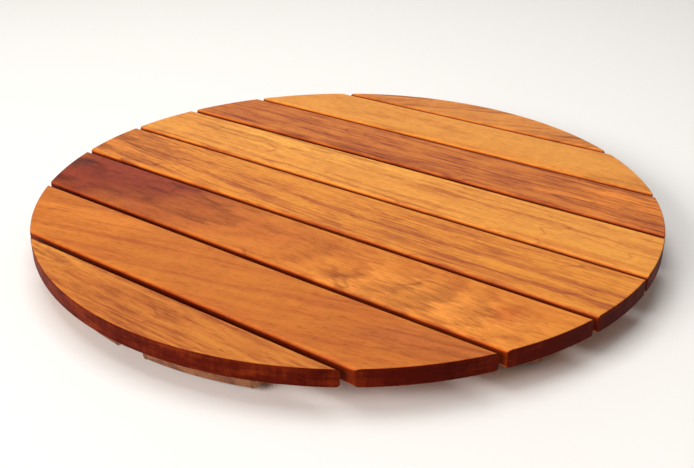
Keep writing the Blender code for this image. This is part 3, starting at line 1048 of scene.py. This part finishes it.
def steelMaterial():
    material, tree, shader = newMaterial("brushedStainless")
    place = addNode(tree, "ShaderNodeTexCoord", -4, 0).outputs["Object"]
    cloud = noiseOf(tree, -2, 1, place, steelLook["clouds"], 3.0, 0.6).outputs["Fac"]
    cloud = soften(tree, -1, 1, cloud, 0.3, 0.75)
    colour = mixColour(tree, 0, 1, cloud, (*steelLook["colour"], 1), (*steelLook["dull"], 1))
    plug(tree, colour, shader["Base Color"])
    lines = stretchedNoise(tree, -1, -1, place, steelLook["brushed"], 2.0, 0.6)
    plug(tree, calc(tree, 1, 0, "MULTIPLY_ADD", cloud, 0.18, steelLook["roughness"]), shader["Roughness"])
    plug(tree, sunkBump(tree, 2, -1, lines, 0.25, 0.00004), shader["Normal"])
    shader["Metallic"].default_value = 1.0
    return material


rubberLook = {
    "clean": (0.020, 0.019, 0.018),
    "dusty": (0.060, 0.054, 0.048),
    "roughness": 0.55,
    "grime": 150.0,
    "grit": 2600.0,
}


def rubberMaterial():
    material, tree, shader = newMaterial("footRubber")
    place = addNode(tree, "ShaderNodeTexCoord", -4, 0).outputs["Object"]
    grime = noiseOf(tree, -2, 1, place, rubberLook["grime"], 4.0, 0.6).outputs["Fac"]
    grime = soften(tree, -1, 1, grime, 0.45, 0.8)
    colour = mixColour(tree, 0, 1, grime, (*rubberLook["clean"], 1), (*rubberLook["dusty"], 1))
    plug(tree, colour, shader["Base Color"])
    plug(tree, calc(tree, 1, 0, "MULTIPLY_ADD", grime, 0.2, rubberLook["roughness"]), shader["Roughness"])
    grit = noiseOf(tree, -1, -1, place, rubberLook["grit"], 2.0, 0.5).outputs["Fac"]
    plug(tree, sunkBump(tree, 2, -1, grit, 0.35, 0.00006), shader["Normal"])
    return material


# put the object together

for name in slatNames:
    buildSlat(name, slatMaterial(name))
print("slats:", len(slatNames))

for name in battenNames:
    buildBatten(name, battenMaterial(name))
print("battens:", len(battenNames))

steel = steelMaterial()
rubber = rubberMaterial()
for name in sorted(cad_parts):
    if name.startswith("screw_"):
        buildScrew(name, steel)
    elif name.startswith("foot_screw_"):
        buildFootScrew(name, steel)
    elif name.startswith("foot_"):
        buildFoot(name, rubber)
print("screws and feet done")


# floor, light and camera

studio = {
    "floorSize": 40.0,
    "floorColour": (0.80, 0.79, 0.78),
    "world": (1.0, 0.985, 0.96),
    "worldStrength": 0.26,
    "azimuth": 35.4,
    "elevation": 24.38,
    "roll": 0.13,
    "distance": 1.053,
    "lens": 46.46,
    "shift": (-0.0011, -0.0651),
}

# name, place, aim, width, height, watts, colour
lamps = [
    ("overhead", (-0.4, 0.05, 2.6), (0.0, 0.0, 0.0), 2.2, 1.7, 48.0, (1.0, 0.97, 0.93)),
    ("backdrop", (-1.5, 2.5, 1.2), (0.0, 0.0, 0.0), 3.0, 1.0, 8.0, (1.0, 0.98, 0.96)),
    ("frontLeft", (-1.6, -4.9, 2.6), (0.0, 0.0, 0.0), 3.2, 2.2, 360.0, (1.0, 0.97, 0.93)),
]


def buildFloor():
    bm = bmesh.new()
    bmesh.ops.create_grid(bm, x_segments=1, y_segments=1, size=studio["floorSize"] / 2)
    mesh = bpy.data.meshes.new("floor")
    bm.to_mesh(mesh)
    bm.free()
    floor = bpy.data.objects.new("floor", mesh)
    bpy.context.scene.collection.objects.link(floor)
    material, tree, shader = newMaterial("paleFloor")
    place = addNode(tree, "ShaderNodeTexCoord", -4, 0).outputs["Object"]
    cloud = noiseOf(tree, -2, 0, place, 3.0, 3.0, 0.5).outputs["Fac"]
    base = studio["floorColour"]
    colour = mixColour(tree, 0, 0, cloud, (*base, 1), (*[c * 0.985 for c in base], 1))
    plug(tree, colour, shader["Base Color"])
    shader["Roughness"].default_value = 0.7
    mesh.materials.append(material)


def buildLamp(name, place, aim, width, height, watts, colour):
    lamp = bpy.data.lights.new(name, "AREA")
    lamp.shape = "RECTANGLE"
    lamp.size = width
    lamp.size_y = height
    lamp.energy = watts
    lamp.color = colour
    holder = bpy.data.objects.new(name, lamp)
    bpy.context.scene.collection.objects.link(holder)
    holder.location = place
    holder.rotation_mode = "QUATERNION"
    holder.rotation_quaternion = (Vector(aim) - Vector(place)).to_track_quat("-Z", "Y")
    holder.visible_camera = False


def buildCamera():
    azimuth = math.radians(studio["azimuth"])
    elevation = math.radians(studio["elevation"])
    back = Vector((math.sin(azimuth) * math.cos(elevation), -math.cos(azimuth) * math.cos(elevation),
                   math.sin(elevation)))
    camera = bpy.data.cameras.new("camera")
    camera.lens = studio["lens"]
    camera.sensor_width = 36
    camera.shift_x, camera.shift_y = studio["shift"]
    camera.clip_start = 0.05
    camera.clip_end = 60
    holder = bpy.data.objects.new("camera", camera)
    bpy.context.scene.collection.objects.link(holder)
    holder.location = Vector((0, 0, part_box("slat_4")[1].z)) + back * studio["distance"]
    holder.rotation_mode = "QUATERNION"
    aim = (-back).to_track_quat("-Z", "Y")
    holder.rotation_quaternion = aim @ Quaternion((0, 0, 1), math.radians(studio["roll"]))
    bpy.context.scene.camera = holder


buildFloor()
for lamp in lamps:
    buildLamp(*lamp)
world = bpy.data.worlds.new("studio")
world.use_nodes = True
sky = world.node_tree.nodes["Background"].inputs
sky["Color"].default_value = (*studio["world"], 1)
sky["Strength"].default_value = studio["worldStrength"]
bpy.context.scene.world = world
bpy.context.scene.view_settings.view_transform = "Standard"
buildCamera()
print("studio ready")
